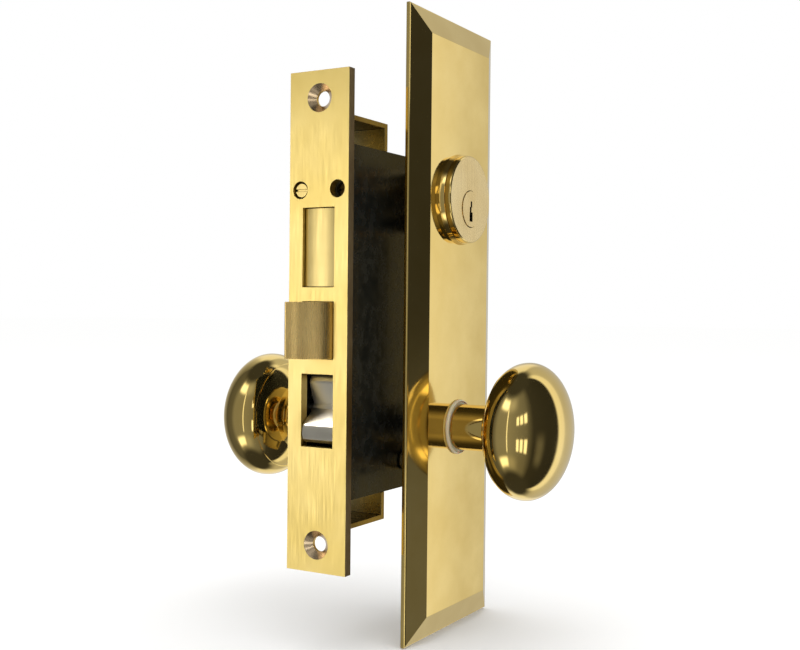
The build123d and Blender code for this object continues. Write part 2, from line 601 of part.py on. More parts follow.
def stop_pivot_pin():
    return rod_x(2.0, (-INNER_X, INNER_X), *ROCKER_PIVOT)


def stop_slide():
    low, high = STOP_BAR_Z
    ear = span((-3, STOP_BAR_X[1]), (13.1, 16.5), (low, -43.0))
    bar = span(STOP_BAR_X, (13.1, 50.4), STOP_BAR_Z)
    nose = span(STOP_BAR_X, (44.0, 50.4), (low + 2, -45.0))
    return ear + bar + nose - span((0, 5), (44.0, 51.0), (low - 1, low + 2))


def stop_slide_guide():
    low, high = STOP_BAR_Z
    plate = span((-0.5, INNER_X), (30, 32), (low - 2, -43))
    return plate - span((STOP_BAR_X[0] - 0.3, STOP_BAR_X[1] + 0.3), (29, 33), (low - 0.3, high + 0.3))


def stop_detent_spring():
    y, z = ROCKER_PIVOT
    rear = y + ROCKER_HUB_R
    points = [(rear + 2.5, -70.4), (rear + 2.5, z - 5)]
    points += [(rear + 1.6, z - 1.6), (rear + 0.1, z), (rear + 1.6, z + 1.6)]
    return bent_strip(points, 0.5, (-7, -3.6))


outside_shell, outside_cup = knob_parts(OUTSIDE_KNOB_X, 1)
inside_shell, inside_cup = knob_parts(-INSIDE_KNOB_X, -1)

PARTS = {
    "front_plate": front_plate(),
    "top_bracket": bracket(1),
    "bottom_bracket": bracket(-1),
    "case_body": case_body(),
    "case_cover": case_cover(),
    "cover_screws": cover_screws(),
    "case_posts": case_posts(),
    "latch_guide": latch_guide(),
    "latch_spring": coil_spring(4.3, 0.5, LATCH_BACK + 0.1, GUIDE_Y[0] - 0.1, 9, 0, LATCH_Z),
    "deadbolt_guide_post": deadbolt_guide_post(),
    "deadbolt_detent_spring": deadbolt_detent_spring(),
    "stop_pivot_pin": stop_pivot_pin(),
    "stop_detent_spring": stop_detent_spring(),
    "stop_slide_guide": stop_slide_guide(),
    "stop_return_spring": coil_spring(1.4, 0.3, 16.7, 29.9, 9, 2.5, -45.0),
    "cylinder_set_screw": set_screw(SET_SCREW_X, 5.6),
    "spare_set_screw": set_screw(-SET_SCREW_X, 0.9),
    "escutcheon": escutcheon(),
    "escutcheon_posts": escutcheon_posts(),
    "cylinder_collar": cylinder_collar(),
    "cylinder_body": cylinder_body(),
    "driver_pins": driver_pins(),
    "driver_springs": driver_springs(),
    "outside_knob_washer": knob_washer(PLATE_FACE, 1),
    "inside_knob_rose": inside_knob_rose(),
    "inside_knob_washer": knob_washer(ROSE_FACE, -1),
    "through_bolts": through_bolts(),
    "turn_rose": turn_rose(),
    "turn_rose_screws": turn_rose_screws(),
    "outside_knob": outside_shell,
    "outside_knob_back": outside_cup,
    "outside_knob_shank": knob_shank(OUTSIDE_KNOB_X, PLATE_FACE, 1),
    "outside_knob_screw": knob_screw(OUTSIDE_KNOB_X, 1),
    "outside_spindle": square_bar((0.6, OUTSIDE_KNOB_X - 20.2), SPINDLE, BACKSET, KNOB_Z),
    "outside_hub": hub(1),
    "inside_knob": inside_shell,
    "inside_knob_back": inside_cup,
    "inside_knob_shank": knob_shank(-INSIDE_KNOB_X, ROSE_FACE, -1),
    "inside_knob_screw": knob_screw(-INSIDE_KNOB_X, -1),
    "inside_spindle": square_bar((-0.6, -INSIDE_KNOB_X + 20.2), SPINDLE, BACKSET, KNOB_Z),
    "inside_hub": hub(-1),
    "outside_retractor": lifter(FORK_Y, TAIL_R + FIT, 1),
    "inside_retractor": lifter(RING_Y, TAIL_NECK_R + FIT, -1),
    "latch_bolt": latch_bolt(),
    "latch_tail": latch_tail(),
    "latch_tail_nut": latch_tail_nut(),
    "cylinder_plug": cylinder_plug(),
    "key_pins": key_pins(),
    "cylinder_cam": cylinder_cam(),
    "cam_screws": cam_screws(),
    "deadbolt": deadbolt(),
    "deadbolt_tail": deadbolt_tail(),
    "tail_rivets": tail_rivets(),
    "thumb_turn": thumb_turn(),
    "turn_spindle": turn_spindle(),
    "turn_hub": turn_hub(),
    "stop_rocker": stop_rocker(),
    "stop_slide": stop_slide(),
}

os.makedirs("parts", exist_ok=True)
for name, shape in PARTS.items():
    if isinstance(shape, list):
        shape = Compound(children=shape)
    export_step(shape, f"parts/{name}.step")
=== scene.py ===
import json
import math

import bmesh
import bpy
from mathutils import Matrix, Vector

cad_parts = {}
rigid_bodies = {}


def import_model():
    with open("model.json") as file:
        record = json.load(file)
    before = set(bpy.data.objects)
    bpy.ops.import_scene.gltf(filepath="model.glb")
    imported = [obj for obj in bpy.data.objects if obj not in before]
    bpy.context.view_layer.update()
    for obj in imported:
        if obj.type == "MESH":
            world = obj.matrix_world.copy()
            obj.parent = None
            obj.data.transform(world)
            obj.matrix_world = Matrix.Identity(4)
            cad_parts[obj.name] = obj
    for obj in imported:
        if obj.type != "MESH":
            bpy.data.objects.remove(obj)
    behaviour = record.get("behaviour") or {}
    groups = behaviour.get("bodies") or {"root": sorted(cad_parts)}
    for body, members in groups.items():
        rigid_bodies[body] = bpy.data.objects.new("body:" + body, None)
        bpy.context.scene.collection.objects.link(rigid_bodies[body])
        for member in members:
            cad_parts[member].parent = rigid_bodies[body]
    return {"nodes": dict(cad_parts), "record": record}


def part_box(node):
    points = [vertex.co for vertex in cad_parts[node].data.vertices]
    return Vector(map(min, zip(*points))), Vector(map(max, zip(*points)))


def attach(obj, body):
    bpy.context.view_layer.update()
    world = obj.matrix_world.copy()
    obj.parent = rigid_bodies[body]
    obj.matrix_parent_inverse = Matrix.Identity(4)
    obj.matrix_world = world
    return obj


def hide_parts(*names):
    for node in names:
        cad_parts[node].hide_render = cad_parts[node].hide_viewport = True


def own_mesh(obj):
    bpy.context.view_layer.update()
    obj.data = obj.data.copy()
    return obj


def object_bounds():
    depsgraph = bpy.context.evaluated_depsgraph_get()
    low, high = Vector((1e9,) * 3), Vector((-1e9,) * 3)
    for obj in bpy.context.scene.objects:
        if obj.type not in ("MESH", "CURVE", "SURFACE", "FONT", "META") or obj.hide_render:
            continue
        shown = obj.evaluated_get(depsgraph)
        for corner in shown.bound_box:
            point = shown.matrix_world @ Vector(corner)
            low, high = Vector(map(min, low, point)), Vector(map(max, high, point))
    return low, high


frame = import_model()
CAD_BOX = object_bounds()
MM = 0.001
SLOTS = {entry["node"]: entry["material_slot"] for entry in frame["record"]["subparts"]}
BODY = {node: body for body, nodes in frame["record"]["behaviour"]["bodies"].items() for node in nodes}


# ---------------------------------------------------------------- materials

class Graph:
    """A short way to write one material's nodes."""

    def __init__(self, name):
        self.material = bpy.data.materials.new(name)
        self.material.use_nodes = True
        self.nodes = self.material.node_tree.nodes
        self.links = self.material.node_tree.links
        self.shader = self.nodes["Principled BSDF"]
        self.place = self.nodes.new("ShaderNodeTexCoord").outputs["Object"]

    def set(self, **values):
        for key, value in values.items():
            self.shader.inputs[key.replace("_", " ")].default_value = value

    def link(self, output, key):
        self.links.new(output, self.shader.inputs[key])

    def stretched(self, scale):
        node = self.nodes.new("ShaderNodeMapping")
        node.inputs["Scale"].default_value = scale
        self.links.new(self.place, node.inputs["Vector"])
        return node.outputs["Vector"]

    def noise(self, scale, detail=3.0, vector=None, rough=0.55):
        node = self.nodes.new("ShaderNodeTexNoise")
        node.inputs["Scale"].default_value = scale
        node.inputs["Detail"].default_value = detail
        node.inputs["Roughness"].default_value = rough
        self.links.new(vector or self.place, node.inputs["Vector"])
        return node.outputs["Fac"]

    def ramp(self, value, low, high, start=0.3, end=0.7):
        node = self.nodes.new("ShaderNodeMapRange")
        node.inputs["From Min"].default_value = start
        node.inputs["From Max"].default_value = end
        node.inputs["To Min"].default_value = low
        node.inputs["To Max"].default_value = high
        self.links.new(value, node.inputs["Value"])
        return node.outputs["Result"]

    def colours(self, value, stops):
        node = self.nodes.new("ShaderNodeValToRGB")
        elements = node.color_ramp.elements
        while len(elements) < len(stops):
            elements.new(0.5)
        for element, (place, colour) in zip(elements, stops):
            element.position = place
            element.color = (*colour, 1)
        self.links.new(value, node.inputs["Fac"])
        return node.outputs["Color"]

    def bump(self, height, strength, distance, normal=None):
        node = self.nodes.new("ShaderNodeBump")
        node.inputs["Strength"].default_value = strength
        node.inputs["Distance"].default_value = distance
        self.links.new(height, node.inputs["Height"])
        if normal:
            self.links.new(normal, node.inputs["Normal"])
        return node.outputs["Normal"]


def brushed_metal(name, dark, light, grain, low, high, depth=0.12):
    """Metal with a fine grain: grain is the noise's stretch along X, Y and Z, per metre."""
    g = Graph(name)
    g.set(Metallic=1.0)
    lines = g.noise(1.0, 5.0, g.stretched(grain), 0.65)
    patches = g.noise(28.0, 3.0)
    g.link(g.colours(patches, [(0.35, dark), (0.68, light)]), "Base Color")
    g.link(g.ramp(lines, low, high), "Roughness")
    g.link(g.bump(lines, depth, 0.00012), "Normal")
    return g.material


def polished_metal(name, dark, light, low, high, wave=0.08):
    """Polished metal: faint haze, fine wiping marks and a slight waviness."""
    g = Graph(name)
    g.set(Metallic=1.0)
    haze = g.noise(45.0, 4.0)
    marks = g.noise(1.0, 4.0, g.stretched((700, 700, 90)), 0.7)
    swell = g.noise(22.0, 1.0)
    g.link(g.colours(haze, [(0.3, dark), (0.72, light)]), "Base Color")
    g.link(g.ramp(haze, low, high), "Roughness")
    fine = g.bump(marks, 0.03, 0.00004)
    g.link(g.bump(swell, wave, 0.002, fine), "Normal")
    return g.material


def enamel(name):
    """Glossy black enamel over a cast case, with the slight orange peel of dipped paint."""
    g = Graph(name)
    g.set(Metallic=0.0, Coat_Weight=0.12, Coat_Roughness=0.08, Specular_IOR_Level=0.28)
    dust = g.noise(220.0, 4.0)
    peel = g.noise(320.0, 2.0)
    cast = g.noise(60.0, 2.0)
    g.link(g.colours(dust, [(0.4, (0.006, 0.007, 0.006)), (0.8, (0.014, 0.016, 0.014))]), "Base Color")
    g.link(g.ramp(dust, 0.16, 0.34), "Roughness")
    g.link(g.bump(peel, 0.10, 0.0002, g.bump(cast, 0.12, 0.0008)), "Normal")
    return g.material


def nylon(name):
    """Beige plastic that lets a little light in."""
    g = Graph(name)
    g.set(Metallic=0.0, Roughness=0.42, Subsurface_Weight=0.25, Subsurface_Scale=0.002)
    mottle = g.noise(160.0, 3.0)
    g.link(g.colours(mottle, [(0.35, (0.62, 0.52, 0.34)), (0.7, (0.74, 0.64, 0.45))]), "Base Color")
    g.link(g.bump(g.noise(900.0, 2.0), 0.08, 0.0001), "Normal")
    return g.material


MATERIALS = {
    "satin_brass": brushed_metal(
        "satin_brass", (0.83, 0.62, 0.19), (0.93, 0.72, 0.27), (2600, 2600, 60), 0.32, 0.44, 0.05
    ),
    "polished_brass": polished_metal("polished_brass", (0.77, 0.56, 0.18), (0.87, 0.66, 0.25), 0.04, 0.11),
    "machined_brass": brushed_metal(
        "machined_brass", (0.78, 0.58, 0.25), (0.88, 0.69, 0.34), (1500, 1500, 80), 0.20, 0.32
    ),
    "black_enamel": enamel("black_enamel"),
    "zinc_steel": brushed_metal(
        "zinc_steel", (0.46, 0.45, 0.40), (0.60, 0.58, 0.51), (400, 400, 400), 0.26, 0.42
    ),
    "spring_steel": brushed_metal(
        "spring_steel", (0.36, 0.36, 0.37), (0.5, 0.5, 0.5), (900, 900, 900), 0.25, 0.4
    ),
    "nickel_plate": polished_metal("nickel_plate", (0.68, 0.64, 0.54), (0.80, 0.76, 0.66), 0.26, 0.38, 0.05),
    "nylon": nylon("nylon"),
}
LATCH_BRASS = brushed_metal(
    "latch_brass", (0.84, 0.56, 0.19), (0.97, 0.70, 0.28), (3200, 3200, 40), 0.22, 0.36, 0.18
)
FACE_BRASS = brushed_metal(
    "face_brass", (0.80, 0.60, 0.27), (0.90, 0.72, 0.38), (60, 2600, 40), 0.20, 0.34
)
BOLT_BRASS = brushed_metal(
    "bolt_brass", (0.66, 0.50, 0.18), (0.82, 0.64, 0.26), (3200, 3200, 40), 0.28, 0.40, 0.12
)
# Brass darkened almost to black: painted shade, for the front's side faces, which face away from the key, and
# for the set screw deep in its hole.
SHADE_DARKENED_BRASS = brushed_metal(
    "shade_darkened_brass", (0.16, 0.11, 0.05), (0.25, 0.18, 0.09), (900, 900, 200), 0.35, 0.5, 0.3
)
# The brackets are the front's brass, darkened: painted shade where they sit behind the front.
SHADED_BRACKET_BRASS = brushed_metal(
    "shaded_bracket_brass", (0.30, 0.24, 0.10), (0.44, 0.35, 0.16), (500, 60, 500), 0.22, 0.36
)
SINK_BRASS = polished_metal("sink_brass", (0.80, 0.58, 0.34), (0.92, 0.72, 0.48), 0.16, 0.26)
# Near-black brass for the keyway: painted shade in the narrow slot.
KEYWAY_SHADE = brushed_metal("keyway_shade", (0.05, 0.045, 0.03), (0.09, 0.08, 0.05), (900, 900, 900), 0.4, 0.6)


# ---------------------------------------------------------------- building pieces

# Steps round a turned piece, how near corners are joined (in metres), and the angle between
# neighbouring faces, in degrees, up to which they are one flat face.
TURNED_STEPS = 160
WELD = 2e-6
FLAT_ANGLE = 0.6


def add_piece(name, mesh, node, material=None, smooth=35.0):
    """Puts a finished mesh in the scene in place of a CAD node, on that node's body."""
    mesh.polygons.foreach_set("use_smooth", [True] * len(mesh.polygons))
    mesh.set_sharp_from_angle(angle=math.radians(smooth))
    mesh = modified(mesh, "WEIGHTED_NORMAL", keep_sharp=True, weight=100)
    piece = bpy.data.objects.new(name, mesh)
    bpy.context.scene.collection.objects.link(piece)
    mesh.materials.clear()
    mesh.materials.append(material or MATERIALS[SLOTS[node]])
    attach(piece, BODY[node])
    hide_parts(node)
    return piece


def modified(mesh, kind, **settings):
    """The mesh with one modifier applied."""
    rough = bpy.data.objects.new("rough", mesh)
    bpy.context.scene.collection.objects.link(rough)
    modifier = rough.modifiers.new(kind, kind)
    for key, value in settings.items():
        setattr(modifier, key, value)
    result = bpy.data.meshes.new_from_object(rough.evaluated_get(bpy.context.evaluated_depsgraph_get()))
    bpy.data.objects.remove(rough)
    return result


def bare_mesh(node, flat_angle=FLAT_ANGLE):
    """A bmesh of a CAD node; its flat faces are joined up unless flat_angle is 0."""
    source = frame["nodes"][node].data
    bm = bmesh.new()
    verts = [bm.verts.new(v.co) for v in source.vertices]
    for polygon in source.polygons:
        corners = [verts[i] for i in polygon.vertices]
        if bm.faces.get(corners) is None:
            bm.faces.new(corners)
    bmesh.ops.remove_doubles(bm, verts=bm.verts, dist=WELD)
    if flat_angle:
        bmesh.ops.dissolve_limit(
            bm, angle_limit=math.radians(flat_angle), verts=bm.verts, edges=bm.edges, delimit={"NORMAL"}
        )
    return bm


def mesh_from(bm, name):
    """The bmesh as a mesh."""
    mesh = bpy.data.meshes.new(name + "_mesh")
    bm.to_mesh(mesh)
    bm.free()
    return mesh


def outward_mesh(bm, name):
    """The bmesh as a mesh with its normals pointing outwards."""
    bmesh.ops.recalc_face_normals(bm, faces=bm.faces)
    return mesh_from(bm, name)


def finished(node, edge, material=None, segments=2, angle=32.0, smooth=35.0, flat_angle=FLAT_ANGLE):
    """A CAD node with its sharp edges broken, as tumbling or polishing leaves them; edge is in mm."""
    result = modified(
        mesh_from(bare_mesh(node, flat_angle), node), "BEVEL", width=edge * MM, segments=segments,
        limit_method="ANGLE", angle_limit=math.radians(angle), use_clamp_overlap=True,
        miter_outer="MITER_SHARP",
    )
    return add_piece(node + "_finished", result, node, material, smooth)


def repaint(piece, material, chosen):
    """Gives the chosen faces of a piece a second material; chosen takes a face's centre (mm) and normal."""
    piece.data.materials.append(material)
    index = len(piece.data.materials) - 1
    for polygon in piece.data.polygons:
        if chosen(polygon.center / MM, polygon.normal):
            polygon.material_index = index


def angles(steps):
    """Equal steps round a circle, in radians."""
    return [math.tau * i / steps for i in range(steps)]


def skin_between(bm, rings):
    """Quads between each ring of vertices and the next."""
    for first, second in zip(rings, rings[1:]):
        for i in range(len(first)):
            j = (i + 1) % len(first)
            bm.faces.new((first[i], first[j], second[j], second[i]))


def turned_mesh(name, profile, axis):
    """A surface turned about a line along X: profile is (x, radius) in mm, axis is (y, z) in mm."""
    bm = bmesh.new()
    rings = []
    for x, radius in profile:
        if radius < 1e-6:
            rings.append([bm.verts.new((x * MM, axis[0] * MM, axis[1] * MM))])
            continue
        ring = []
        for a in angles(TURNED_STEPS):
            y = axis[0] + radius * math.cos(a)
            z = axis[1] + radius * math.sin(a)
            ring.append(bm.verts.new((x * MM, y * MM, z * MM)))
        rings.append(ring)
    if len(rings[0]) > 1 and len(rings[-1]) > 1:
        rings.append(rings[0])
    for low, high in zip(rings, rings[1:]):
        for i in range(TURNED_STEPS):
            j = (i + 1) % TURNED_STEPS
            corners = [low[i % len(low)], low[j % len(low)], high[j % len(high)], high[i % len(high)]]
            corners = [v for k, v in enumerate(corners) if v not in corners[:k]]
            bm.faces.new(corners)
    return outward_mesh(bm, name)


def arc(centre, radius, start, end, steps):
    """Points on an arc in the (x, radius) plane; angles in degrees from the +x direction."""
    points = []
    for i in range(steps + 1):
        a = math.radians(start + (end - start) * i / steps)
        points.append((centre[0] + radius * math.cos(a), centre[1] + radius * math.sin(a)))
    return points


# ---------------------------------------------------------------- knobs

knob_low, knob_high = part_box("outside_knob")
washer_low, washer_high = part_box("outside_knob_washer")
BACKSET = (washer_low.y + washer_high.y) / 2 / MM
KNOB_Z = (washer_low.z + washer_high.z) / 2 / MM
KNOB_AXIS = (BACKSET, KNOB_Z)

# The knob's outline bulges with one power ahead of its widest place and another behind it.
# SEAM_GAP and CUP_START are parts of half its depth, and the other lengths are in mm.
CROWN_POWER, BACK_POWER = 2.0, 2.25
KNOB_DEPTH, KNOB_INSET = 34.0, 0.02
KNOB_R = (knob_high.z - knob_low.z) / 2 / MM - KNOB_INSET
SEAM_BACK, SEAM_GAP, SEAM_TUCK = 9.5, 0.012, 0.32
CUP_START, CUP_EDGE, CUP_FOOT = -0.88, 1.2, 1.2

# Profiles in mm. The lip's points are offsets from the seam along the axis and from the knob's
# radius there; the neck's are offsets from the cup's foot, and radii.
LIP = [(0.6, -1.3), (-0.25, -0.9), (-0.4, -0.25), (-0.15, 0.02)]
NECK = [(5, 8.5), (-0.4, 8.5), (-0.7, 9.2), (-0.35, 10.2), (0.35, 10.9), (0.7, 12.2)]

# The washer's bore, and how far in from its edge the flats end and its rounding is centred.
WASHER_BORE_R = 8.7
WASHER_FLAT, WASHER_RIM, WASHER_RIM_R = 0.9, 1.0, 0.98


def knob_radius(s):
    """The knob's radius at a place along its depth, from -1 at the back to 1 at the pole."""
    power = CROWN_POWER if s > 0 else BACK_POWER
    return KNOB_R * max(0.0, 1 - abs(s) ** power) ** 0.5


def knob_front(side, pole):
    """The crowned front shell, ending in a rolled lip at the seam."""
    half = KNOB_DEPTH / 2
    centre = pole - side * half
    start = -SEAM_BACK / half
    steps = 64
    points = []
    for i in range(steps + 1):
        a = math.asin(start) + (math.pi / 2 - math.asin(start)) * i / steps
        s = math.sin(a)
        points.append((centre + side * half * s, knob_radius(s)))
    points[-1] = (pole, 0.0)
    seam_x = centre - side * SEAM_BACK
    return [(seam_x + side * along, knob_radius(start) + out) for along, out in LIP] + points


def knob_back(side, pole):
    """The back cup: it tucks under the rolled lip and flares into a bead at the shank."""
    half = KNOB_DEPTH / 2
    centre = pole - side * half
    end = -SEAM_BACK / half - SEAM_GAP
    steps = 32
    points = []
    for i in range(steps + 1):
        s = CUP_START + (end - CUP_START) * i / steps
        points.append((centre + side * half * s, knob_radius(s) - SEAM_TUCK * (i / steps) ** 3))
    foot = centre - side * (half - CUP_FOOT)
    neck = [(foot + side * along, radius) for along, radius in NECK]
    return neck + points + [(points[-1][0], points[-1][1] - CUP_EDGE)]


def washer_profile(prefix, side):
    """A flat washer with a rounded rim."""
    low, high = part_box(prefix + "_knob_washer")
    inner, outer = (low.x / MM, high.x / MM) if side > 0 else (high.x / MM, low.x / MM)
    radius = (high.z - low.z) / 2 / MM
    turn = (180, 0) if side > 0 else (0, 180)
    rim = arc(((inner + outer) / 2, radius - WASHER_RIM), WASHER_RIM_R, *turn, 10)[1:-1]
    flat = radius - WASHER_FLAT
    return [(inner, WASHER_BORE_R), (inner, flat), *rim, (outer, flat), (outer, WASHER_BORE_R)]


def knob_set(prefix, side):
    """A knob's shell and back cup, its washer and its shank."""
    low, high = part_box(prefix + "_knob")
    pole = (high.x if side > 0 else low.x) / MM
    front = turned_mesh(prefix + "_knob", knob_front(side, pole), KNOB_AXIS)
    add_piece(prefix + "_knob_shell", front, prefix + "_knob", smooth=50)
    back = turned_mesh(prefix + "_knob_back", knob_back(side, pole), KNOB_AXIS)
    add_piece(prefix + "_knob_cup", back, prefix + "_knob_back", smooth=50)
    washer = turned_mesh(prefix + "_washer", washer_profile(prefix, side), KNOB_AXIS)
    add_piece(prefix + "_washer_ring", washer, prefix + "_knob_washer")
    finished(prefix + "_knob_shank", 0.45, segments=3)


for prefix, side in (("outside", 1), ("inside", -1)):
    knob_set(prefix, side)


# ---------------------------------------------------------------- mortise cylinder

# Places and sizes in mm; THREAD_FADE is the length over which the thread runs out at each end.
PLATE_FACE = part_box("escutcheon")[1].x / MM
body_low, body_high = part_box("cylinder_body")
CYLINDER_Z = (body_low.z + body_high.z) / 2 / MM
HEAD_FACE = body_high.x / MM
HEAD_R = (body_high.z - body_low.z) / 2 / MM
HEAD_ROUND, HEAD_LIFT, HEAD_INSET, EDGE_BREAK = 0.8, 0.02, 0.6, 0.25
PLUG_Z = 49.4
PLUG_HOLE_R, PLUG_HOLE_DEPTH = 7.9, 1.6
KEYWAY_REACH, KEYWAY_MOUTH = 3.0, 0.75
THREAD_R, THREAD_DEPTH, THREAD_PITCH, THREAD_FADE = 14.6, 0.45, 0.79, 1.2


def around(x, radius, z, a):
    """A place in metres on a circle about a line along X, at the backset and the height z in mm."""
    return Vector((x, BACKSET + radius * math.cos(a), z + radius * math.sin(a))) * MM


def cylinder_head():
    """The round head: a polished side, and a flat face with an eccentric hole for the plug."""
    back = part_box("cylinder_collar")[1].x / MM + HEAD_LIFT
    turn = HEAD_FACE - HEAD_ROUND
    rim = [(back, THREAD_R - HEAD_INSET), (back, HEAD_R - EDGE_BREAK), (back + EDGE_BREAK, HEAD_R)]
    rim += [(turn, HEAD_R)] + arc((turn, HEAD_R - HEAD_ROUND), HEAD_ROUND, 90, 0, 5)[1:]
    hole = [(HEAD_FACE, PLUG_HOLE_R + EDGE_BREAK), (HEAD_FACE - EDGE_BREAK, PLUG_HOLE_R)]
    hole += [(HEAD_FACE - PLUG_HOLE_DEPTH, PLUG_HOLE_R)]
    circles = [(x, radius, CYLINDER_Z) for x, radius in rim] + [(x, radius, PLUG_Z) for x, radius in hole]
    bm = bmesh.new()
    skin_between(bm, [[bm.verts.new(around(*c, a)) for a in angles(TURNED_STEPS)] for c in circles])
    return outward_mesh(bm, "cylinder_head")


def cylinder_thread():
    """The threaded barrel: a helical ridge over its whole length."""
    steps, per_turn = 96, 6
    start = body_low.x / MM
    length = PLATE_FACE - start
    rows = int(length / THREAD_PITCH * per_turn)
    bm = bmesh.new()
    rings = []
    for row in range(rows + 1):
        x = start + length * row / rows
        fade = min(1.0, (x - start) / THREAD_FADE, (PLATE_FACE - x) / THREAD_FADE)
        ring = []
        for i, a in enumerate(angles(steps)):
            phase = (x / THREAD_PITCH - i / steps) % 1.0
            ridge = abs(phase * 2 - 1)
            radius = THREAD_R - THREAD_DEPTH * (1 - ridge * fade)
            ring.append(bm.verts.new(around(x, radius, CYLINDER_Z, a)))
        rings.append(ring)
    skin_between(bm, rings)
    for ring in (rings[0], rings[-1]):
        bm.faces.new(ring)
    return outward_mesh(bm, "cylinder_thread")


head = add_piece("cylinder_head", cylinder_head(), "cylinder_body")
repaint(head, FACE_BRASS, lambda c, n: n.x > 0.98 and c.x > HEAD_FACE - 0.05)
add_piece("cylinder_thread", cylinder_thread(), "cylinder_body", MATERIALS["machined_brass"], 60)


def plug_mesh():
    """The plug, with the wide chamfered mouth that leads a key into the keyway."""
    bm = bare_mesh("cylinder_plug")
    face = max(v.co.x for v in bm.verts)
    mouth = [
        e for e in bm.edges
        if all(v.co.x > face - 1e-5 and abs(v.co.y / MM - BACKSET) < KEYWAY_REACH for v in e.verts)
    ]
    bmesh.ops.bevel(bm, geom=mouth, offset=KEYWAY_MOUTH * MM, segments=1, affect="EDGES", clamp_overlap=True)
    return mesh_from(bm, "cylinder_plug")


plug = add_piece("cylinder_plug_finished", plug_mesh(), "cylinder_plug", FACE_BRASS)
# Painted shade on the faces near the keyway's plane that don't face straight out: the keyway's walls and its
# chamfered mouth.
repaint(plug, KEYWAY_SHADE, lambda c, n: abs(c.y - BACKSET) < KEYWAY_REACH and abs(n.x) < 0.95)


# ---------------------------------------------------------------- front, case and trim

# Where the front's screw holes are, the radii their cones lie between, and where its sides begin, in mm.
FRONT_SCREW_Z = 90.5
SINK_INNER_R, SINK_OUTER_R = 2.9, 5.75
FRONT_SIDE_X = 13.5


def in_countersink(c, n):
    """Faces on the cones of the front's two screw holes."""
    off_axis = math.hypot(c.x, abs(c.z) - FRONT_SCREW_Z)
    return SINK_INNER_R < off_axis < SINK_OUTER_R and n.y < -0.2


front = finished("front_plate", 0.22)
# The front's side faces get the darkened brass: painted shade.
repaint(front, SHADE_DARKENED_BRASS, lambda c, n: n.x > 0.75 and c.x > FRONT_SIDE_X)
repaint(front, SINK_BRASS, in_countersink)
for node in ("top_bracket", "bottom_bracket"):
    # Painted shade: the brackets get the darkened brass.
    finished(node, 0.3, SHADED_BRACKET_BRASS)

# How far the edges of each piece are broken, in mm.
EDGES = {
    "case_body": 0.7, "case_cover": 0.25, "cover_screws": 0.08, "escutcheon_posts": 0.25,
    "through_bolts": 0.15, "turn_rose": 0.2, "turn_rose_screws": 0.08, "thumb_turn": 0.3,
    "stop_rocker": 0.35, "outside_knob_screw": 0.1, "inside_knob_screw": 0.1,
    "outside_spindle": 0.3, "inside_spindle": 0.3, "turn_spindle": 0.2,
}
for node, edge in EDGES.items():
    finished(node, edge)
finished("escutcheon", 0.2, angle=12, smooth=12)
finished("cylinder_collar", 0.12)
finished("inside_knob_rose", 0.3, flat_angle=0)
finished("latch_bolt", 0.3, LATCH_BRASS)
finished("deadbolt", 0.35, BOLT_BRASS)
# The set screw sits deep in its hole, so it gets the darkened brass: painted shade.
finished("cylinder_set_screw", 0.12, SHADE_DARKENED_BRASS)
finished("spare_set_screw", 0.12, BOLT_BRASS)


def coil(name, node, start, end, body):
    """A stretch of a compression spring, from start to end along Y, cut from the CAD coil and put on a body.
    """
    bm = bare_mesh(node, flat_angle=0)
    for place, outwards in ((start, -1), (end, 1)):
        cut = bmesh.ops.bisect_plane(
            bm, geom=bm.verts[:] + bm.edges[:] + bm.faces[:], plane_co=(0, place, 0),
            plane_no=(0, outwards, 0), clear_outer=True,
        )
        bmesh.ops.holes_fill(bm, edges=[e for e in cut["geom_cut"] if isinstance(e, bmesh.types.BMEdge)])
    piece = add_piece(name, mesh_from(bm, name), node)
    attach(piece, body)
    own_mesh(piece)


# The latch spring gives way to either knob, so it is cut in two halves: the front one rides on the outside
# retractor and the back one on the root.
latch_start, latch_end = (corner.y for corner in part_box("latch_spring"))
latch_middle = (latch_start + latch_end) / 2
coil("latch_spring_front", "latch_spring", latch_start, latch_middle, "outside_retractor_body")
coil("latch_spring_back", "latch_spring", latch_middle, latch_end, "root")
stop_start, stop_end = (corner.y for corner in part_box("stop_return_spring"))
coil("stop_return_coil", "stop_return_spring", stop_start, stop_end, "root")

for node, obj in frame["nodes"].items():
    obj.data.materials.clear()
    obj.data.materials.append(MATERIALS[SLOTS[node]])


# ---------------------------------------------------------------- stage, lights and camera

def plain(name, colour, roughness):
    """A plain matt stage material."""
    g = Graph(name)
    g.set(Base_Color=(*colour, 1), Roughness=roughness, Specular_IOR_Level=0.0)
    return g.material


def card(name, corners, material):
    """A flat stage surface."""
    mesh = bpy.data.meshes.new(name)
    mesh.from_pydata(corners, [], [tuple(range(len(corners)))])
    mesh.materials.append(material)
    obj = bpy.data.objects.new(name, mesh)
    bpy.context.scene.collection.objects.link(obj)
    return obj


def light(name, place, target, size, power, colour=(1, 1, 1)):
    """A rectangular lamp that faces its target; size is in metres and power in watts."""
    data = bpy.data.lights.new(name, "AREA")
    data.shape = "RECTANGLE"
    data.size, data.size_y = size
    data.energy = power
    data.color = colour
    obj = bpy.data.objects.new(name, data)
    obj.location = place
    obj.rotation_euler = (Vector(target) - Vector(place)).to_track_quat("-Z", "Y").to_euler()
    bpy.context.scene.collection.objects.link(obj)
    return obj


def light_only(lamp, nodes):
    """Limits a lamp to the pieces of a few CAD nodes, so that nothing else reflects it."""
    lit = bpy.data.collections.new("lit_by_" + lamp.name)
    for obj in bpy.context.scene.objects:
        if obj.name.removesuffix("_finished") in nodes:
            lit.objects.link(obj)
    lamp.light_linking.receiver_collection = lit


FLOOR_Z = CAD_BOX[0][2] - 0.0005
REACH = 9
FLOOR_CORNERS = [(x * REACH, y * REACH, FLOOR_Z) for x, y in ((-1, -1), (1, -1), (1, 1), (-1, 1))]
floor = card("floor", FLOOR_CORNERS, plain("floor", (0.995, 0.995, 0.99), 0.9))

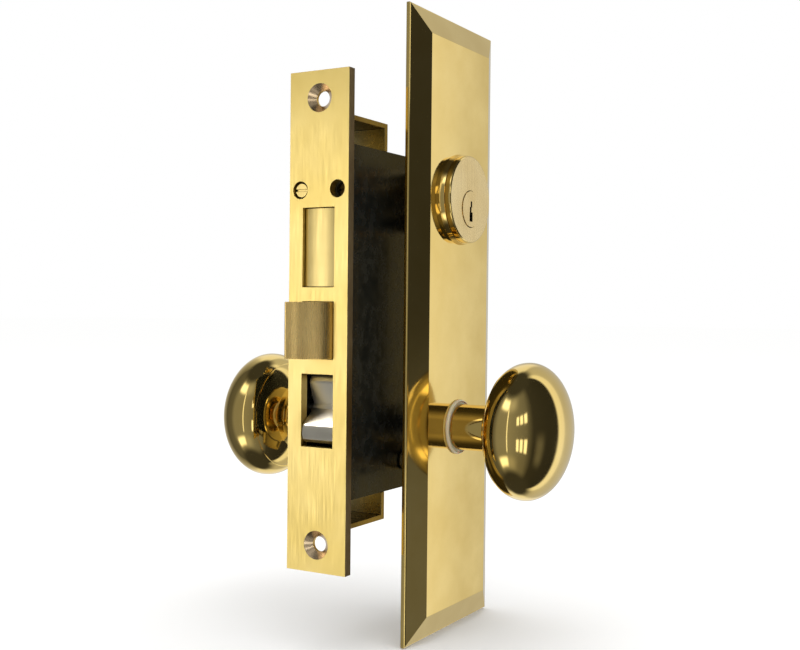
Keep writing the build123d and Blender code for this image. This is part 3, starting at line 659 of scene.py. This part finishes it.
# Brightness of the studio round the lock: WALL by azimuth, then patches with soft edges given as
# (azimuths), (elevations), brightness, (softness in azimuth, in elevation), all angles in degrees.
WALL = [
    (-185, 0.10), (-140, 0.14), (-125, 0.28), (-70, 0.30), (-16, 0.18), (2, 0.045), (48.5, 0.03),
    (51.5, 1.10), (61.0, 1.02), (64.8, 0.66), (70, 0.60), (110, 0.55), (135, 0.75), (150, 0.45),
    (185, 0.10),
]
PATCHES = [
    ((-132, -40), (33, 58), 0.50, (34, 14)), ((-128, -80), (36, 56), 2.0, (14, 9)),
    ((-132, -40), (-58, -33), 0.45, (34, 14)), ((-128, -78), (-54, -35), 1.9, (14, 9)),
    ((95, 140), (22, 62), 1.0, (12, 12)), ((95, 140), (-62, -22), 1.0, (12, 12)),
    ((-84, -79), (-30, 40), 1.5, (2, 6)), ((6, 26), (-36, -3), 0.15, (12, 14)),
]
# Six panes of a window, three across.
PATCHES += [((a, a + 9), rows, 1.7, (2, 2)) for a in (-45, -33, -21) for rows in ((11, 24), (-26, -8))]
# The wall fades to DIM over DIM_WIDTH degrees, up to DIM_ELEVATION above and below the horizon.
DIM, DIM_ELEVATION, DIM_WIDTH = 0.05, 68, 16


def soft_step(value, width):
    """A smooth rise from 0 to 1 as the value goes from 0 to the width."""
    t = max(0.0, min(1.0, value / width))
    return t * t * (3 - 2 * t)


def studio(azimuth, elevation):
    """Brightness seen from the lock in a direction; the wall dims towards the zenith and the nadir."""
    for (a, low), (b, high) in zip(WALL, WALL[1:]):
        if a <= azimuth <= b:
            value = low + (high - low) * (azimuth - a) / (b - a)
    value = DIM + (value - DIM) * soft_step(DIM_ELEVATION - abs(elevation), DIM_WIDTH)
    for across, rise, glow, softness in PATCHES:
        share = 1.0
        for place, (start, end), edge in zip((azimuth, elevation), (across, rise), softness):
            share *= soft_step(min(place - start, end - place) + edge / 4, edge)
        value += (glow - value) * share
    return value


def studio_dome(radius=5.0, step=1.5):
    """A dome that only mirror-like reflections see; its brightness is stored on its corners."""
    bm = bmesh.new()
    columns, rows = int(360 / step), int(180 / step)
    levels = []
    for row in range(rows + 1):
        e = math.radians(-90 + row * step)
        ring = []
        for column in range(columns + 1):
            a = math.radians(-180 + column * step)
            spot = (math.cos(e) * math.cos(a), math.cos(e) * math.sin(a), math.sin(e))
            ring.append(bm.verts.new(Vector(spot) * radius))
        levels.append(ring)
    for low_ring, high_ring in zip(levels, levels[1:]):
        for i in range(columns):
            bm.faces.new((low_ring[i], low_ring[i + 1], high_ring[i + 1], high_ring[i]))
    mesh = bpy.data.meshes.new("studio_dome")
    bm.to_mesh(mesh)
    bm.free()
    glow = mesh.color_attributes.new("glow", "FLOAT_COLOR", "POINT")
    for row in range(rows + 1):
        for column in range(columns + 1):
            value = studio(-180 + column * step, -90 + row * step)
            glow.data[row * (columns + 1) + column].color = (value, value, value * 0.97, 1)
    material = bpy.data.materials.new("studio_dome")
    material.use_nodes = True
    nodes, links = material.node_tree.nodes, material.node_tree.links
    nodes.clear()
    attribute = nodes.new("ShaderNodeAttribute")
    attribute.attribute_name = "glow"
    emission = nodes.new("ShaderNodeEmission")
    links.new(attribute.outputs["Color"], emission.inputs["Color"])
    links.new(emission.outputs["Emission"], nodes.new("ShaderNodeOutputMaterial").inputs["Surface"])
    material.cycles.emission_sampling = "NONE"
    mesh.materials.append(material)
    dome = bpy.data.objects.new("studio_dome", mesh)
    bpy.context.scene.collection.objects.link(dome)
    dome.visible_camera = False
    dome.visible_diffuse = False
    dome.visible_shadow = False
    dome.visible_transmission = False


studio_dome()
floor.visible_glossy = False
key = light("front_key", (-0.95, -1.45, -0.34), (0, 0, 0), (0.5, 1.5), 8.6)
softbox = light("top_softbox", (0.1, -0.2, 1.5), (0, 0.05, 0), (1.2, 1.2), 5.0)
softbox.visible_glossy = False
light_only(key, {"front_plate", "latch_bolt", "deadbolt", "spare_set_screw"})
rocker_light = light("rocker_light", (-0.75, -0.45, 1.0), (0, 0, -0.04), (0.5, 0.5), 16.0, (1.0, 0.96, 0.91))
light_only(rocker_light, {"stop_rocker"})

world = bpy.data.worlds.new("studio")
world.use_nodes = True
world.node_tree.nodes["Background"].inputs["Color"].default_value = (1, 1, 1, 1)
world.node_tree.nodes["Background"].inputs["Strength"].default_value = 1.0
world.cycles_visibility.glossy = False
bpy.context.scene.world = world
bpy.context.scene.view_settings.view_transform = "Standard"

CAMERA_PLACE = (0.25596, -0.37241, 0.00616)
YAW, PITCH, ROLL = math.radians(30.27), math.radians(0.89), math.radians(0.56)
SENSOR_MM, LENS_MM = 36.0, 50.1705
forward = Vector((-math.sin(YAW) * math.cos(PITCH), math.cos(YAW) * math.cos(PITCH), -math.sin(PITCH)))
level = Vector((math.cos(YAW), math.sin(YAW), 0))
upright = level.cross(forward)
right = level * math.cos(ROLL) + upright * math.sin(ROLL)
up = upright * math.cos(ROLL) - level * math.sin(ROLL)
data = bpy.data.cameras.new("camera")
data.sensor_width = SENSOR_MM
data.lens = LENS_MM
camera = bpy.data.objects.new("camera", data)
camera.matrix_world = Matrix.Translation(CAMERA_PLACE) @ Matrix((right, up, -forward)).transposed().to_4x4()
bpy.context.scene.collection.objects.link(camera)
bpy.context.scene.camera = camera
